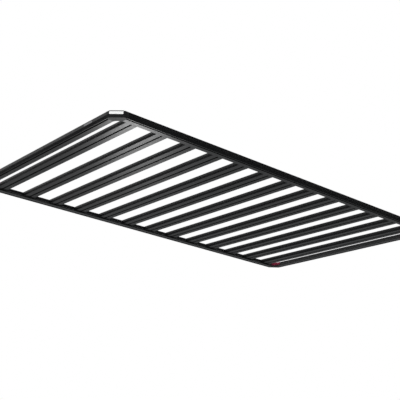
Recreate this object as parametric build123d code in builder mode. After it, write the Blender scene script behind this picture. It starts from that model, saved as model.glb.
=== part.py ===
# Flat platform roof rack: a perimeter of hollow aluminium extrusions joined by cast corners, with
# slotted slats that sit on the ledge of the two long rails.
# X runs along the vehicle, Y across it, Z up. The origin is under the middle of the rack, at the
# level of the rails' underside.
import os

from build123d import *

# Whole rack, over the outer faces of the rails
rack_length = 2570.0
rack_width = 1475.0

# Perimeter extrusion
rail_height = 34.0
rail_width = 50.0
rail_body_width = 34.0
ledge_height = 8.0
rail_wall = 2.2
rail_edge_radius = 2.0
rail_inner_bevel = 2.0
rail_ledge_bevel = 0.7
side_band_bottom = 15.5
side_taper = 6.3
outer_lip = 3.6

# T slot for the square heads of the fixing bolts, the same in rails and slats
slot_mouth = 11.0
slot_lip = 3.0
slot_head_width = 16.0
slot_head_height = 7.5

# Slats
slat_count = 13
end_margin = 144.0
slat_width = 74.0
slat_height = 27.0
slat_band_bottom = 13.0
slat_side_taper = 2.5
slat_wall = 2.2
slat_web = 3.0
slat_edge_radius = 4.0
slat_end_gap = 0.5

# Corner castings
corner_leg = 80.0
corner_chamfer = 58.0
corner_bend_radius = 12.0
spigot_length = 45.0
spigot_clearance = 0.3
corner_flange_radius = 48.0

# Places worked out from the sizes above
half_length = rack_length / 2
half_width = rack_width / 2
slat_length = rack_width - 2 * (rail_body_width + slat_end_gap)
slat_pitch = (rack_length - 2 * end_margin) / (slat_count - 1)
slat_places = [end_margin - half_length + number * slat_pitch for number in range(slat_count)]
slat_slot_head = (slat_height - slat_web) / 2 - slot_lip
slot_floor = slot_lip + slot_head_height
rail_slot_middle = side_taper + outer_lip + slot_mouth / 2
chamber_bottom = slot_floor + rail_wall
chamber_top = rail_height - rail_wall
chamber_inner = rail_body_width - rail_wall

os.makedirs("parts", exist_ok=True)


def save(builder, name):
    builder.part.label = name
    export_step(builder.part, f"parts/{name}.step")


def rail_section(plane):
    """Rail section: outer face at local x = 0, underside at local y = 0, ledge towards +x."""
    with BuildSketch(plane) as section:
        with BuildLine():
            Polyline(
                (side_taper, 0),
                (rail_width, 0),
                (rail_width, ledge_height),
                (rail_body_width, ledge_height),
                (rail_body_width, rail_height),
                (0, rail_height),
                (0, side_band_bottom),
                close=True,
            )
        make_face()
        fillet(section.vertices().sort_by_distance((0, rail_height))[0], rail_edge_radius)
        chamfer(section.vertices().sort_by_distance((rail_body_width, rail_height))[0], rail_inner_bevel)
        chamfer(section.vertices().group_by(Axis.X)[-1], rail_ledge_bevel)
        # T slot in the underside
        with Locations((rail_slot_middle, 0)):
            Rectangle(slot_mouth, slot_lip, align=(Align.CENTER, Align.MIN), mode=Mode.SUBTRACT)
        with Locations((rail_slot_middle, slot_lip)):
            Rectangle(
                slot_head_width, slot_head_height, align=(Align.CENTER, Align.MIN), mode=Mode.SUBTRACT
            )
        # Upper chamber, which keeps a wall's distance from the outer side
        taper_left = side_taper * (1 - chamber_bottom / side_band_bottom)
        with BuildLine():
            Polyline(
                (rail_wall + taper_left, chamber_bottom),
                (chamber_inner, chamber_bottom),
                (chamber_inner, chamber_top),
                (rail_wall, chamber_top),
                (rail_wall, side_band_bottom),
                close=True,
            )
        make_face(mode=Mode.SUBTRACT)
        # Lower chamber, from beside the T slot out into the ledge
        lower_start = rail_slot_middle + slot_head_width / 2 + rail_wall
        with BuildLine():
            Polyline(
                (lower_start, rail_wall),
                (rail_width - rail_wall, rail_wall),
                (rail_width - rail_wall, ledge_height - rail_wall),
                (chamber_inner, ledge_height - rail_wall),
                (chamber_inner, slot_floor),
                (lower_start, slot_floor),
                close=True,
            )
        make_face(mode=Mode.SUBTRACT)
    return section.sketch


def slat_section(plane):
    """Slat section, centred on local x = 0 with its underside at local y = 0."""
    half = slat_width / 2
    hollow_start = slot_head_width / 2 + slat_wall
    with BuildSketch(plane) as section:
        # One half with the closed chamber beside the slots, then its mirror image
        with BuildLine():
            Polyline(
                (0, 0),
                (half - slat_side_taper, 0),
                (half, slat_band_bottom),
                (half, slat_height),
                (0, slat_height),
                close=True,
            )
        make_face()
        fillet(section.vertices().sort_by_distance((half, slat_height))[0], slat_edge_radius)
        with BuildLine():
            Polyline(
                (hollow_start, slat_wall),
                (half - slat_side_taper - slat_wall, slat_wall),
                (half - slat_wall, slat_band_bottom),
                (half - slat_wall, slat_height - slat_wall),
                (hollow_start, slat_height - slat_wall),
                close=True,
            )
        make_face(mode=Mode.SUBTRACT)
        mirror(about=Plane.YZ)
        # T slots, one in the underside and one in the top
        for mouth, inward in ((0, Align.MIN), (slat_height, Align.MAX)):
            with Locations((0, mouth)):
                Rectangle(slot_mouth, slot_lip, align=(Align.CENTER, inward), mode=Mode.SUBTRACT)
        for edge, inward in ((slot_lip, Align.MIN), (slat_height - slot_lip, Align.MAX)):
            with Locations((0, edge)):
                Rectangle(
                    slot_head_width, slat_slot_head, align=(Align.CENTER, inward), mode=Mode.SUBTRACT
                )
    return section.sketch


def corner_outline(leg_width, hollow_radius):
    """Chamfered corner with two legs and a round hollow between them. The outer corner is at (0, 0)."""
    with BuildSketch() as outline:
        with BuildLine():
            FilletPolyline(
                (corner_leg, 0),
                (corner_chamfer, 0),
                (0, corner_chamfer),
                (0, corner_leg),
                radius=corner_bend_radius,
            )
            Line((corner_leg, 0), (corner_leg, leg_width))
            RadiusArc((corner_leg, leg_width), (leg_width, corner_leg), hollow_radius)
            Line((leg_width, corner_leg), (0, corner_leg))
        make_face()
    return outline.sketch


def outer_edges(edges):
    """Those edges of a casting's top or underside that run along its outer side."""
    ends = edges.group_by(Axis.X)[-1] + edges.group_by(Axis.Y)[-1]
    hollow = edges.filter_by(GeomType.CIRCLE).sort_by(SortBy.RADIUS)[-1]
    return [edge for edge in edges if edge not in ends + [hollow]]


# Perimeter rails: two long ones that carry the slats, two short ones across the ends
long_run = rack_length - 2 * corner_leg
short_run = rack_width - 2 * corner_leg
right_end = Plane((-long_run / 2, -half_width, 0), x_dir=(0, 1, 0), z_dir=(1, 0, 0))
left_end = Plane((long_run / 2, half_width, 0), x_dir=(0, -1, 0), z_dir=(-1, 0, 0))
rear_end = Plane((-half_length, short_run / 2, 0), x_dir=(1, 0, 0), z_dir=(0, -1, 0))
front_end = Plane((half_length, -short_run / 2, 0), x_dir=(-1, 0, 0), z_dir=(0, 1, 0))
rails = {
    "right_rail": (right_end, long_run),
    "left_rail": (left_end, long_run),
    "rear_rail": (rear_end, short_run),
    "front_rail": (front_end, short_run),
}

for name, (end_plane, run) in rails.items():
    with BuildPart() as rail:
        extrude(rail_section(end_plane), amount=run)
    save(rail, name)

# Corner casting, drawn at the rear right corner and mirrored to the other three
with BuildPart() as rear_right_corner:
    corner_plane = Plane((-half_length, -half_width, 0))
    with BuildSketch(corner_plane):
        add(corner_outline(rail_body_width, corner_leg - rail_body_width))
    extrude(amount=rail_height)
    top_edges = rear_right_corner.edges().group_by(Axis.Z)[-1]
    inner_edge = top_edges.filter_by(GeomType.CIRCLE).sort_by(SortBy.RADIUS)[-1]
    fillet(outer_edges(top_edges), rail_edge_radius)
    chamfer(inner_edge, rail_inner_bevel)
    # Flange that carries the rails' ledge round the corner, then the taper of the rails' outer side
    with BuildSketch(corner_plane):
        add(corner_outline(rail_width, corner_flange_radius))
    extrude(amount=ledge_height)
    underside = rear_right_corner.faces().sort_by(Axis.Z)[0]
    chamfer(outer_edges(underside.edges()), side_taper, side_band_bottom, reference=underside)
    # Spigots that fill the upper part of the rails' chamber
    spigot_width = chamber_inner - rail_wall - 2 * spigot_clearance
    spigot_height = chamber_top - side_band_bottom - 2 * spigot_clearance
    spigot_middle = ((rail_wall + chamber_inner) / 2, (side_band_bottom + chamber_top) / 2)
    along_x = Plane(
        corner_plane.from_local_coords((corner_leg, 0, 0)), x_dir=(0, 1, 0), z_dir=(1, 0, 0)
    )
    along_y = Plane(
        corner_plane.from_local_coords((0, corner_leg, 0)), x_dir=(-1, 0, 0), z_dir=(0, 1, 0)
    )
    with BuildSketch(along_x):
        with Locations(spigot_middle):
            Rectangle(spigot_width, spigot_height)
    extrude(amount=spigot_length)
    with BuildSketch(along_y):
        with Locations((-spigot_middle[0], spigot_middle[1])):
            Rectangle(spigot_width, spigot_height)
    extrude(amount=spigot_length)
save(rear_right_corner, "rear_right_corner")

with BuildPart() as rear_left_corner:
    mirror(rear_right_corner.part, about=Plane.XZ)
save(rear_left_corner, "rear_left_corner")

with BuildPart() as front_right_corner:
    mirror(rear_right_corner.part, about=Plane.YZ)
save(front_right_corner, "front_right_corner")

with BuildPart() as front_left_corner:
    mirror(rear_left_corner.part, about=Plane.YZ)
save(front_left_corner, "front_left_corner")

# Slats, from the rear end to the front end, seated on the ledges
for number, slat_x in enumerate(slat_places, start=1):
    with BuildPart() as slat:
        slat_end = Plane((slat_x, slat_length / 2, ledge_height), x_dir=(1, 0, 0), z_dir=(0, -1, 0))
        extrude(slat_section(slat_end), amount=slat_length)
    save(slat, f"slat_{number:02d}")
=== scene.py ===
from math import cos, radians, sin

import bmesh
import bpy
from mathutils import Matrix, Quaternion, Vector


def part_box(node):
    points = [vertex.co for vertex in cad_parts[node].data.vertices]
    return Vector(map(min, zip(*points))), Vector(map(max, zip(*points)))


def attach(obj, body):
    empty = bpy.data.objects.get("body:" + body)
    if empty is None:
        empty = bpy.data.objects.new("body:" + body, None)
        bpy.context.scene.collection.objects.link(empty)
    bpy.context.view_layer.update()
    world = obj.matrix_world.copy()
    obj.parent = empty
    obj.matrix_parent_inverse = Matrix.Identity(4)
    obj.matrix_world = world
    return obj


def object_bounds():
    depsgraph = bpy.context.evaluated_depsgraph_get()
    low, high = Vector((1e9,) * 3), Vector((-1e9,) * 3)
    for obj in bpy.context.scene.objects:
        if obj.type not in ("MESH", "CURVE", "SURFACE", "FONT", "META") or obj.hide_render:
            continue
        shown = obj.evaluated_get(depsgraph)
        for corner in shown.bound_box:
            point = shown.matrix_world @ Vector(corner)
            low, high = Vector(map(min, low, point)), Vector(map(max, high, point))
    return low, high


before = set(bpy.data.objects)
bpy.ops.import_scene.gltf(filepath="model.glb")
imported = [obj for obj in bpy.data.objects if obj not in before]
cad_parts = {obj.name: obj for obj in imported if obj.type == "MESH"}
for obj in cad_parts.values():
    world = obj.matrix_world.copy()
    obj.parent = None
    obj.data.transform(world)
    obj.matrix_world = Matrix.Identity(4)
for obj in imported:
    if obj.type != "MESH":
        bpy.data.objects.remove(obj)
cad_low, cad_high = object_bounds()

# Perimeter rails. Four lengths of one hollow aluminium extrusion, two long and two short, with an upright
# band along the outer side, a taper under it and a T slot below. They are cut square and powder coated
# satin black before the corners go in, so faint die lines run along them under the coat.
rail_black = (0.0050, 0.0052, 0.0056, 1)
rail_black_pale = (0.0075, 0.0078, 0.0083, 1)
# The lighter colour on sharp edges is partly coat lying thin there and partly a painted edge highlight.
thin_coat_and_edge_highlight = (0.040, 0.041, 0.043, 1)
die_lines_along_x = (3, 420, 420)
die_lines_along_y = (420, 3, 420)


def coat_nodes(name):
    """An empty node material with its principled shader and object coordinates."""
    material = bpy.data.materials.new(name)
    material.use_nodes = True
    tree = material.node_tree
    shader = tree.nodes["Principled BSDF"]
    places = tree.nodes.new("ShaderNodeTexCoord").outputs["Object"]
    return material, tree, shader, places


def grain(tree, places, features, detail):
    """Noise with so many features to the metre, the same on every axis or a number for each."""
    stretch = tree.nodes.new("ShaderNodeMapping")
    stretch.inputs["Scale"].default_value = features if isinstance(features, tuple) else (features,) * 3
    tree.links.new(places, stretch.inputs["Vector"])
    noise = tree.nodes.new("ShaderNodeTexNoise")
    noise.inputs["Scale"].default_value = 1.0
    noise.inputs["Detail"].default_value = detail
    tree.links.new(stretch.outputs["Vector"], noise.inputs["Vector"])
    return noise.outputs["Fac"]


def spread(tree, value, low=0.0, high=1.0, start=0.3, end=0.7):
    """Carries a value from the range where noise mostly lies to the range that a socket needs."""
    reach = tree.nodes.new("ShaderNodeMapRange")
    reach.inputs["From Min"].default_value = start
    reach.inputs["From Max"].default_value = end
    reach.inputs["To Min"].default_value = low
    reach.inputs["To Max"].default_value = high
    tree.links.new(value, reach.inputs["Value"])
    return reach.outputs["Result"]


def blended(tree, share, first, second):
    """Mixes two colours, each a plain colour or a node's output."""
    mix = tree.nodes.new("ShaderNodeMix")
    mix.data_type = "RGBA"
    tree.links.new(share, mix.inputs["Factor"])
    for socket, colour in ((mix.inputs[6], first), (mix.inputs[7], second)):
        if isinstance(colour, tuple):
            socket.default_value = colour
        else:
            tree.links.new(colour, socket)
    return mix.outputs[2]


def edge_share(tree, radius, most):
    """Nearness to a sharp edge, where a coat wears thin or a highlight is painted: 0 on flats, most on the
    edge.
    """
    rounded = tree.nodes.new("ShaderNodeBevel")
    rounded.samples = 4
    rounded.inputs["Radius"].default_value = radius
    flat = tree.nodes.new("ShaderNodeNewGeometry")
    turn = tree.nodes.new("ShaderNodeVectorMath")
    turn.operation = "DOT_PRODUCT"
    tree.links.new(rounded.outputs["Normal"], turn.inputs[0])
    tree.links.new(flat.outputs["Normal"], turn.inputs[1])
    return spread(tree, turn.outputs["Value"], low=most, high=0.0, start=0.80, end=0.985)


def raised(tree, shader, height, strength, depth):
    """Adds a bump to the shader's normal, over the bump that is there already."""
    bump = tree.nodes.new("ShaderNodeBump")
    bump.inputs["Strength"].default_value = strength
    bump.inputs["Distance"].default_value = depth
    tree.links.new(height, bump.inputs["Height"])
    for under in shader.inputs["Normal"].links:
        tree.links.new(under.from_socket, bump.inputs["Normal"])
    tree.links.new(bump.outputs["Normal"], shader.inputs["Normal"])


def black_coat(name, die_lines, dark, pale):
    """Satin black powder coat over an extrusion whose die lines are stretched along one axis."""
    material, tree, shader, places = coat_nodes(name)
    clouds = spread(tree, grain(tree, places, features=5, detail=4))
    # Sharp edges are painted lighter: partly a thin coat, partly a painted highlight.
    worn_and_highlit_edge = edge_share(tree, radius=0.0011, most=0.75)
    coat = blended(tree, worn_and_highlit_edge, blended(tree, clouds, dark, pale), thin_coat_and_edge_highlight)
    tree.links.new(coat, shader.inputs["Base Color"])
    sheen = spread(tree, grain(tree, places, features=60, detail=3), low=0.29, high=0.37)
    tree.links.new(sheen, shader.inputs["Roughness"])
    raised(tree, shader, grain(tree, places, features=die_lines, detail=1), strength=0.05, depth=0.0002)
    orange_peel = grain(tree, places, features=700, detail=2)
    raised(tree, shader, orange_peel, strength=0.10, depth=0.0002)
    return material


def finish_node(node, material):
    """Gives a CAD node its material all over."""
    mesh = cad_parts[node].data
    mesh.materials.clear()
    mesh.materials.append(material)


long_rail_coat = black_coat("long_rail_coat", die_lines_along_x, rail_black, rail_black_pale)
short_rail_coat = black_coat("short_rail_coat", die_lines_along_y, rail_black, rail_black_pale)
for rail in ("right_rail", "left_rail"):
    finish_node(rail, long_rail_coat)
finish_node("front_rail", short_rail_coat)

# Rail panel. A plain grey panel, screen printed on the band of the rear rail near the rear right corner once
# the coat is baked. The ink lies a little unevenly and takes the sheen of the coat.
panel_length = 0.074
panel_height = 0.0105
panel_from_side = 0.2375
panel_level = 0.0228
face_depth = 0.001
ink_grey = (0.190, 0.190, 0.195, 1)
ink_grey_thin = (0.150, 0.150, 0.155, 1)

printed_coat = black_coat("printed_coat", die_lines_along_y, rail_black, rail_black_pale)
tree = printed_coat.node_tree
shader = tree.nodes["Principled BSDF"]
places = tree.nodes.new("ShaderNodeTexCoord").outputs["Object"]
axes = tree.nodes.new("ShaderNodeSeparateXYZ")
tree.links.new(places, axes.inputs["Vector"])
panel_middle = (cad_low.x, cad_low.y + panel_from_side, panel_level)
panel_reach = (face_depth, panel_length / 2, panel_height / 2)
in_panel = None
for axis, middle, reach in zip("XYZ", panel_middle, panel_reach):
    near = tree.nodes.new("ShaderNodeMath")
    near.operation = "COMPARE"
    near.inputs[1].default_value = middle
    near.inputs[2].default_value = reach
    tree.links.new(axes.outputs[axis], near.inputs[0])
    if in_panel is None:
        in_panel = near.outputs["Value"]
    else:
        both = tree.nodes.new("ShaderNodeMath")
        both.operation = "MINIMUM"
        tree.links.new(in_panel, both.inputs[0])
        tree.links.new(near.outputs["Value"], both.inputs[1])
        in_panel = both.outputs["Value"]
bare_coat = shader.inputs["Base Color"].links[0].from_socket
patches = spread(tree, grain(tree, places, features=300, detail=3))
ink = blended(tree, patches, ink_grey, ink_grey_thin)
tree.links.new(blended(tree, in_panel, bare_coat, ink), shader.inputs["Base Color"])
finish_node("rear_rail", printed_coat)

# Corner castings. Four chamfered aluminium castings whose spigots plug into the ends of the rails.
# They are coated with the rails, and the cast skin under the coat leaves a coarser, even grain.
casting_black = (0.0055, 0.0057, 0.0060, 1)
casting_black_pale = (0.0085, 0.0088, 0.0092, 1)
corners = ("rear_right_corner", "rear_left_corner", "front_right_corner", "front_left_corner")

casting_coat, tree, shader, places = coat_nodes("casting_coat")
clouds = spread(tree, grain(tree, places, features=14, detail=4))
# The sharp edges are painted lighter, partly as a thin coat and partly as a painted highlight.
worn_and_highlit_edge = edge_share(tree, radius=0.0014, most=0.8)
coat = blended(tree, worn_and_highlit_edge, blended(tree, clouds, casting_black, casting_black_pale), thin_coat_and_edge_highlight)
tree.links.new(coat, shader.inputs["Base Color"])
sheen = spread(tree, grain(tree, places, features=80, detail=3), low=0.50, high=0.58)
tree.links.new(sheen, shader.inputs["Roughness"])
cast_skin = grain(tree, places, features=380, detail=3)
raised(tree, shader, cast_skin, strength=0.16, depth=0.0003)
for corner in corners:
    finish_node(corner, casting_coat)

# Slats. Thirteen lengths of a wider hollow extrusion with a T slot along the top and one along the
# underside. They are coated apart from the frame and laid on the ledges of the long rails.
slat_black = (0.0050, 0.0052, 0.0055, 1)
slat_black_pale = (0.0078, 0.0081, 0.0085, 1)
slats = sorted(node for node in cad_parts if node.startswith("slat_"))
slat_coat = black_coat("slat_coat", die_lines_along_y, slat_black, slat_black_pale)
for slat in slats:
    finish_node(slat, slat_coat)

# Slat screws. Blackened stainless steel button head screws with a hex socket, down in each slat's top slot
# at both ends. They go through the slat's web and into the ledge below it.
web_height = 0.0150
ledge_middle = 0.042
head_radius = 0.0052
head_sides = 32
head_rim = 0.0009
dome_steps = ((0.0012, 0.90), (0.0008, 0.80), (0.0004, 0.72))
socket_radius = 0.0022
socket_sides = 6
socket_depth = 0.0019
head_edge = 0.00012
steel_black = (0.055, 0.056, 0.060, 1)
steel_grey = (0.110, 0.112, 0.118, 1)
steel_rubbed = (0.30, 0.30, 0.31, 1)

black_steel, tree, shader, places = coat_nodes("black_steel")
shader.inputs["Metallic"].default_value = 1.0
mottle = spread(tree, grain(tree, places, features=900, detail=3))
rubbed = edge_share(tree, radius=0.0004, most=0.9)
blackened = blended(tree, rubbed, blended(tree, mottle, steel_black, steel_grey), steel_rubbed)
tree.links.new(blackened, shader.inputs["Base Color"])
sheen = spread(tree, grain(tree, places, features=500, detail=2), low=0.30, high=0.48)
tree.links.new(sheen, shader.inputs["Roughness"])
raised(tree, shader, grain(tree, places, features=2500, detail=2), strength=0.08, depth=0.0001)

# A direction lies along an axis where its share of that axis passes the first value, and two places are
# the same where they differ by less than the second.
along_axis = 0.9
same_place = 1e-5


def pick_faces(piece, chosen):
    """In edit mode, selects just the faces whose middle and normal pass the test."""
    bpy.ops.mesh.select_mode(type="FACE")
    bpy.ops.mesh.select_all(action="DESELECT")
    shape = bmesh.from_edit_mesh(piece.data)
    for face in shape.faces:
        face.select = chosen(face.calc_center_median(), face.normal)
    shape.select_flush_mode()
    bmesh.update_edit_mesh(piece.data)


def pick_edges(piece, chosen):
    """In edit mode, selects just the edges whose direction passes the test."""
    bpy.ops.mesh.select_mode(type="EDGE")
    bpy.ops.mesh.select_all(action="DESELECT")
    shape = bmesh.from_edit_mesh(piece.data)
    for edge in shape.edges:
        first, second = (corner.co for corner in edge.verts)
        edge.select = chosen((second - first).normalized())
    bmesh.update_edit_mesh(piece.data)


def ease_edges(piece, width, steps, limit=30):
    """Rounds the piece's sharp edges with a bevel and shades it smooth between them."""
    bevel = piece.modifiers.new("eased edges", "BEVEL")
    bevel.width = width
    bevel.segments = steps
    bevel.limit_method = "ANGLE"
    bevel.angle_limit = radians(limit)
    bpy.ops.object.modifier_apply(modifier=bevel.name)
    bpy.ops.object.shade_smooth_by_angle(angle=radians(limit))


# Only the head is made, because the shank would lie inside the web and the ledge. It stands on z = 0 with
# its dome upwards.
bpy.ops.object.select_all(action="DESELECT")
bpy.ops.mesh.primitive_cylinder_add(
    vertices=head_sides, radius=head_radius, depth=head_rim, location=(0, 0, head_rim / 2)
)
screw = bpy.context.object
bpy.ops.object.transform_apply(location=True, rotation=True, scale=True)
bpy.ops.object.mode_set(mode="EDIT")
head_top = head_rim
for rise, share in dome_steps:
    pick_faces(screw, lambda middle, normal: normal.z > along_axis and middle.z > head_top - same_place)
    bpy.ops.mesh.extrude_region_move(TRANSFORM_OT_translate={"value": (0, 0, rise)})
    bpy.ops.transform.resize(value=(share, share, 1))
    head_top += rise
bpy.ops.object.mode_set(mode="OBJECT")
bpy.ops.mesh.primitive_cylinder_add(
    vertices=socket_sides, radius=socket_radius, depth=2 * socket_depth, location=(0, 0, head_top)
)
hex_key = bpy.context.object
bpy.ops.object.select_all(action="DESELECT")
screw.select_set(True)
bpy.context.view_layer.objects.active = screw
socket = screw.modifiers.new("hex socket", "BOOLEAN")
socket.operation = "DIFFERENCE"
socket.solver = "EXACT"
socket.object = hex_key
bpy.ops.object.modifier_apply(modifier=socket.name)
bpy.data.objects.remove(hex_key)
ease_edges(screw, width=head_edge, steps=2)
screw_mesh = screw.data
bpy.data.objects.remove(screw)


def set_screw(name, seat):
    """Sets a copy of the screw with its head on a seat."""
    mesh = screw_mesh.copy()
    mesh.transform(Matrix.Translation(seat))
    mesh.materials.append(black_steel)
    piece = bpy.data.objects.new(name, mesh)
    bpy.context.scene.collection.objects.link(piece)
    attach(piece, "root")


for slat in slats:
    low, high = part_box(slat)
    for end, outer_y, inward in (("right", cad_low.y, 1), ("left", cad_high.y, -1)):
        seat = Vector(((low.x + high.x) / 2, outer_y + inward * ledge_middle, low.z + web_height))
        set_screw(f"{slat}_{end}_screw", seat)

# Corner plate. A bare aluminium plate, painted white, with a shallow pressed panel. It sits in a black rim
# let into the chamfer of the rear right corner above the taper. The rim is coated as the corner is, and its
# top is about level with the corner's.
rim_length = 0.0724
rim_height = 0.0200
rim_bottom = 0.0142
rim_off_middle = -0.0018
rim_proud = 0.0016
rim_seat = 0.0020
rim_corner = 0.0026
rim_width = 0.0011
rim_edge = 0.00015
recess = 0.0009
plate_length = rim_length - 2 * rim_width
plate_height = 0.0147
plate_thickness = 0.0008
plate_corner = 0.0015
plate_play = 0.0001
plate_edge = 0.00010
panel_margin = 0.0005
panel_sink = 0.0002
chamfer = 0.058
chamfer_turn = radians(-45)
plate_white = (0.90, 0.90, 0.89, 1)
plate_white_dull = (0.84, 0.84, 0.83, 1)
plate_scuff = (0.74, 0.74, 0.73, 1)

white_paint, tree, shader, places = coat_nodes("white_paint")
clouds = spread(tree, grain(tree, places, features=70, detail=3))
scuffed = edge_share(tree, radius=0.0006, most=0.5)
painted = blended(tree, scuffed, blended(tree, clouds, plate_white, plate_white_dull), plate_scuff)
tree.links.new(painted, shader.inputs["Base Color"])
sheen = spread(tree, grain(tree, places, features=160, detail=2), low=0.34, high=0.46)
tree.links.new(sheen, shader.inputs["Roughness"])
raised(tree, shader, grain(tree, places, features=1600, detail=2), strength=0.05, depth=0.0001)

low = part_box("rear_right_corner")[0]
chamfer_middle = Vector((low.x + chamfer / 2, low.y + chamfer / 2, low.z))
onto_chamfer = Matrix.Translation(chamfer_middle) @ Matrix.Rotation(chamfer_turn, 4, "Z")


def rounded_plate(name, length, thickness, height, corner):
    """Adds an upright plate with round corners about the origin, in edit mode with its front picked."""
    bpy.ops.object.select_all(action="DESELECT")
    bpy.ops.mesh.primitive_cube_add(size=1)
    piece = bpy.context.object
    piece.name = name
    piece.scale = (length, thickness, height)
    bpy.ops.object.transform_apply(location=True, rotation=True, scale=True)
    bpy.ops.object.mode_set(mode="EDIT")
    pick_edges(piece, lambda along: abs(along.y) > along_axis)
    bpy.ops.mesh.bevel(offset=corner, segments=5, affect="EDGES")
    pick_faces(piece, lambda middle, normal: normal.y < -along_axis)
    return piece


# The rim's recess keeps to the rim's lower edge, so the rim is broad above the plate.
rim = rounded_plate("plate_rim", rim_length, rim_proud + rim_seat, rim_height, rim_corner)
inner_height = rim_height - 2 * rim_width
bpy.ops.mesh.inset(thickness=rim_width, depth=0)
bpy.ops.transform.resize(value=(1, 1, plate_height / inner_height), center_override=(0, 0, -inner_height / 2))
bpy.ops.mesh.extrude_region_move(TRANSFORM_OT_translate={"value": (0, recess, 0)})
bpy.ops.object.mode_set(mode="OBJECT")
ease_edges(rim, width=rim_edge, steps=2)
rim_middle = (rim_off_middle, (rim_seat - rim_proud) / 2, rim_bottom + rim_height / 2)
rim.data.transform(onto_chamfer @ Matrix.Translation(rim_middle))
rim.data.materials.append(casting_coat)
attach(rim, "root")

plate = rounded_plate(
    "corner_plate",
    plate_length - 2 * plate_play,
    plate_thickness,
    plate_height - 2 * plate_play,
    plate_corner,
)
bpy.ops.mesh.inset(thickness=panel_margin, depth=0)
bpy.ops.mesh.inset(thickness=panel_sink, depth=-panel_sink)
bpy.ops.object.mode_set(mode="OBJECT")
ease_edges(plate, width=plate_edge, steps=2)
plate_middle = (
    rim_off_middle,
    recess - rim_proud - plate_thickness / 2,
    rim_bottom + rim_width + plate_height / 2,
)
plate.data.transform(onto_chamfer @ Matrix.Translation(plate_middle))
plate.data.materials.append(white_paint)
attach(plate, "root")

# Corner insert. A plain dark red moulded strip, bent to the hollow inside of the front left corner. It is
# pressed against the wall above the flange and runs on over the joint with the front rail.
wall_radius = 0.046
corner_leg = 0.080
insert_thickness = 0.0025
insert_bottom = 0.0088
insert_height = 0.0252
insert_leg = 0.018
insert_sweep = radians(68)
insert_steps = 16
insert_edge = 0.0006
insert_red = (0.260, 0.006, 0.042, 1)
insert_red_dull = (0.110, 0.003, 0.018, 1)
insert_scuff = (0.30, 0.03, 0.06, 1)

red_plastic, tree, shader, places = coat_nodes("red_plastic")
clouds = spread(tree, grain(tree, places, features=120, detail=3))
scuffed = edge_share(tree, radius=0.0006, most=0.6)
moulded = blended(tree, scuffed, blended(tree, clouds, insert_red, insert_red_dull), insert_scuff)
tree.links.new(moulded, shader.inputs["Base Color"])
sheen = spread(tree, grain(tree, places, features=200, detail=2), low=0.32, high=0.44)
tree.links.new(sheen, shader.inputs["Roughness"])
raised(tree, shader, grain(tree, places, features=1800, detail=2), strength=0.06, depth=0.0001)

# The strip's section is spun about the upright axis of the hollow, and its end face is then drawn out into
# the straight leg. A positive angle spins clockwise seen from above.
low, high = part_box("front_left_corner")
bend_middle = Vector((high.x - corner_leg, high.y - corner_leg, 0))
insert_middle = low.z + insert_bottom + insert_height / 2
bpy.ops.object.select_all(action="DESELECT")
bpy.ops.mesh.primitive_plane_add(size=1)
insert = bpy.context.object
insert.name = "corner_insert"
insert.scale = (insert_thickness, insert_height, 1)
insert.rotation_euler = (radians(90), 0, 0)
insert.location = (wall_radius - insert_thickness / 2, 0, insert_middle)
bpy.ops.object.transform_apply(location=True, rotation=True, scale=True)
bpy.ops.object.mode_set(mode="EDIT")
bpy.ops.mesh.select_all(action="SELECT")
bpy.ops.mesh.spin(steps=insert_steps, angle=-insert_sweep, center=(0, 0, 0), axis=(0, 0, 1))
bpy.ops.mesh.select_all(action="SELECT")
bpy.ops.mesh.remove_doubles(threshold=same_place)
bpy.ops.mesh.normals_make_consistent(inside=False)
pick_faces(insert, lambda middle, normal: normal.y < -along_axis and abs(middle.y) < same_place)
bpy.ops.mesh.extrude_region_move(TRANSFORM_OT_translate={"value": (0, -insert_leg, 0)})
bpy.ops.object.mode_set(mode="OBJECT")
ease_edges(insert, width=insert_edge, steps=3)
insert.data.transform(Matrix.Translation(bend_middle))
insert.data.materials.append(red_plastic)
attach(insert, "root")

# Studio floor. A plain pale painted floor, well below the rack, because the camera stands lower than the
# rack and looks up at it.
floor_level = -1.95
floor_size = 240
floor_pale = (0.74, 0.74, 0.735, 1)
floor_pale_dull = (0.70, 0.70, 0.695, 1)
bpy.ops.object.select_all(action="DESELECT")
bpy.ops.mesh.primitive_plane_add(size=floor_size, location=(0, 0, floor_level))
floor = bpy.context.object
floor.name = "studio_floor"
floor_paint, tree, shader, places = coat_nodes("floor_paint")
clouds = spread(tree, grain(tree, places, features=0.6, detail=3))
tree.links.new(blended(tree, clouds, floor_pale, floor_pale_dull), shader.inputs["Base Color"])
shader.inputs["Roughness"].default_value = 0.9
shader.inputs["Specular IOR Level"].default_value = 0.1
floor.data.materials.append(floor_paint)

# Flags. A black card to the right of the camera, a dark one to its left and a grey cloth over the floor,
# which only reflections see, so that the black coat stays as dark as it is under a white surround.
card_black = (0.004, 0.004, 0.004, 1)
card_grey = (0.10, 0.10, 0.10, 1)
cloth_grey = (0.36, 0.36, 0.36, 1)
cloth_level = floor_level + 0.03
facing_y = (radians(90), 0, 0)
facing_x = (radians(90), 0, radians(90))
facing_up = (0, 0, 0)


def flag(name, place, turned, width, height, colour):
    """A flat card or cloth that shows in reflections and nowhere else."""
    bpy.ops.object.select_all(action="DESELECT")
    bpy.ops.mesh.primitive_plane_add(size=1, location=place, rotation=turned)
    card = bpy.context.object
    card.name = name
    card.scale = (width, height, 1)
    cloth, tree, shader, places = coat_nodes(name)
    shader.inputs["Base Color"].default_value = colour
    shader.inputs["Roughness"].default_value = 1.0
    shader.inputs["Specular IOR Level"].default_value = 0.0
    card.data.materials.append(cloth)
    card.visible_camera = False
    card.visible_diffuse = False
    card.visible_transmission = False
    card.visible_shadow = False


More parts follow.
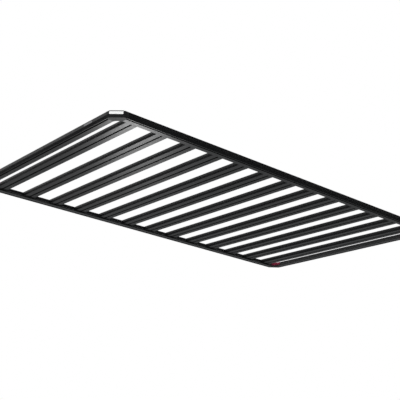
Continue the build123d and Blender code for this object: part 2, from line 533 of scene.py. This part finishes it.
flag("side_flag", place=(4.0, -4.2, 1.2), turned=facing_y, width=14, height=8, colour=card_black)
flag("floor_flag", place=(4.0, 4.0, cloth_level), turned=facing_up, width=24, height=24, colour=cloth_grey)
flag("left_flag", place=(-5.5, 2.0, 0.78), turned=facing_x, width=26, height=5.36, colour=card_grey)

# Softboxes. A large one overhead and one in front light the rack, and a small low one stands where the
# undersides at the near corner mirror it. Only the low one shows in reflections.
near_corner = (cad_low.x, cad_low.y, 0)
deck_middle = (0, 0, 0)


def softbox(name, place, aim, width, height, power, mirrored=False):
    """A soft rectangular lamp at a place, turned to face a point."""
    lamp = bpy.data.lights.new(name, "AREA")
    lamp.shape = "RECTANGLE"
    lamp.size = width
    lamp.size_y = height
    lamp.energy = power
    box = bpy.data.objects.new(name, lamp)
    box.location = place
    box.rotation_euler = (Vector(aim) - Vector(place)).to_track_quat("-Z", "Y").to_euler()
    box.visible_camera = False
    box.visible_glossy = mirrored
    bpy.context.scene.collection.objects.link(box)


softbox("overhead_softbox", place=(0, 0, 3.6), aim=deck_middle, width=4.5, height=3.5, power=150)
softbox("front_softbox", place=(-4.6, -4.4, 0.6), aim=near_corner, width=3.0, height=2.0, power=125)
low_place = (-0.12, 0.785, -1.205)
softbox("low_softbox", place=low_place, aim=near_corner, width=0.36, height=0.85, power=6.8, mirrored=True)

# White surround. It is white to the camera and in reflections, and a soft, slightly cool grey light to
# everything else.
ambient_tint = (0.96, 0.98, 1.0, 1)
ambient_strength = 0.60
world = bpy.data.worlds.new("white_surround")
bpy.context.scene.world = world
world.use_nodes = True
tree = world.node_tree
ambient = tree.nodes["Background"]
ambient.inputs["Color"].default_value = ambient_tint
ambient.inputs["Strength"].default_value = ambient_strength
white = tree.nodes.new("ShaderNodeBackground")
white.inputs["Color"].default_value = (1, 1, 1, 1)
white.inputs["Strength"].default_value = 1.0
path = tree.nodes.new("ShaderNodeLightPath")
seen = path.outputs["Is Camera Ray"]
for kind in ("Is Glossy Ray", "Is Transmission Ray"):
    either = tree.nodes.new("ShaderNodeMath")
    either.operation = "MAXIMUM"
    tree.links.new(seen, either.inputs[0])
    tree.links.new(path.outputs[kind], either.inputs[1])
    seen = either.outputs["Value"]
choice = tree.nodes.new("ShaderNodeMixShader")
tree.links.new(seen, choice.inputs["Fac"])
tree.links.new(ambient.outputs["Background"], choice.inputs[1])
tree.links.new(white.outputs["Background"], choice.inputs[2])
tree.links.new(choice.outputs["Shader"], tree.nodes["World Output"].inputs["Surface"])

# Camera. It stands behind and to the right of the rack, below it, and looks up along it, a little tilted.
camera_place = (-3.2003, -3.7213, -1.6496)
camera_yaw = radians(50.418)
camera_pitch = radians(19.296)
camera_roll = radians(2.711)
camera_lens = 73.05
sensor_width = 36
farthest_seen = 200
camera_data = bpy.data.cameras.new("camera")
camera_data.lens = camera_lens
camera_data.sensor_width = sensor_width
camera_data.clip_end = farthest_seen
camera = bpy.data.objects.new("camera", camera_data)
camera.location = camera_place
looking = Vector(
    (cos(camera_pitch) * cos(camera_yaw), cos(camera_pitch) * sin(camera_yaw), sin(camera_pitch))
)
camera.rotation_mode = "QUATERNION"
camera.rotation_quaternion = looking.to_track_quat("-Z", "Y") @ Quaternion((0, 0, 1), camera_roll)
bpy.context.scene.collection.objects.link(camera)
bpy.context.scene.camera = camera
bpy.context.scene.view_settings.view_transform = "Standard"
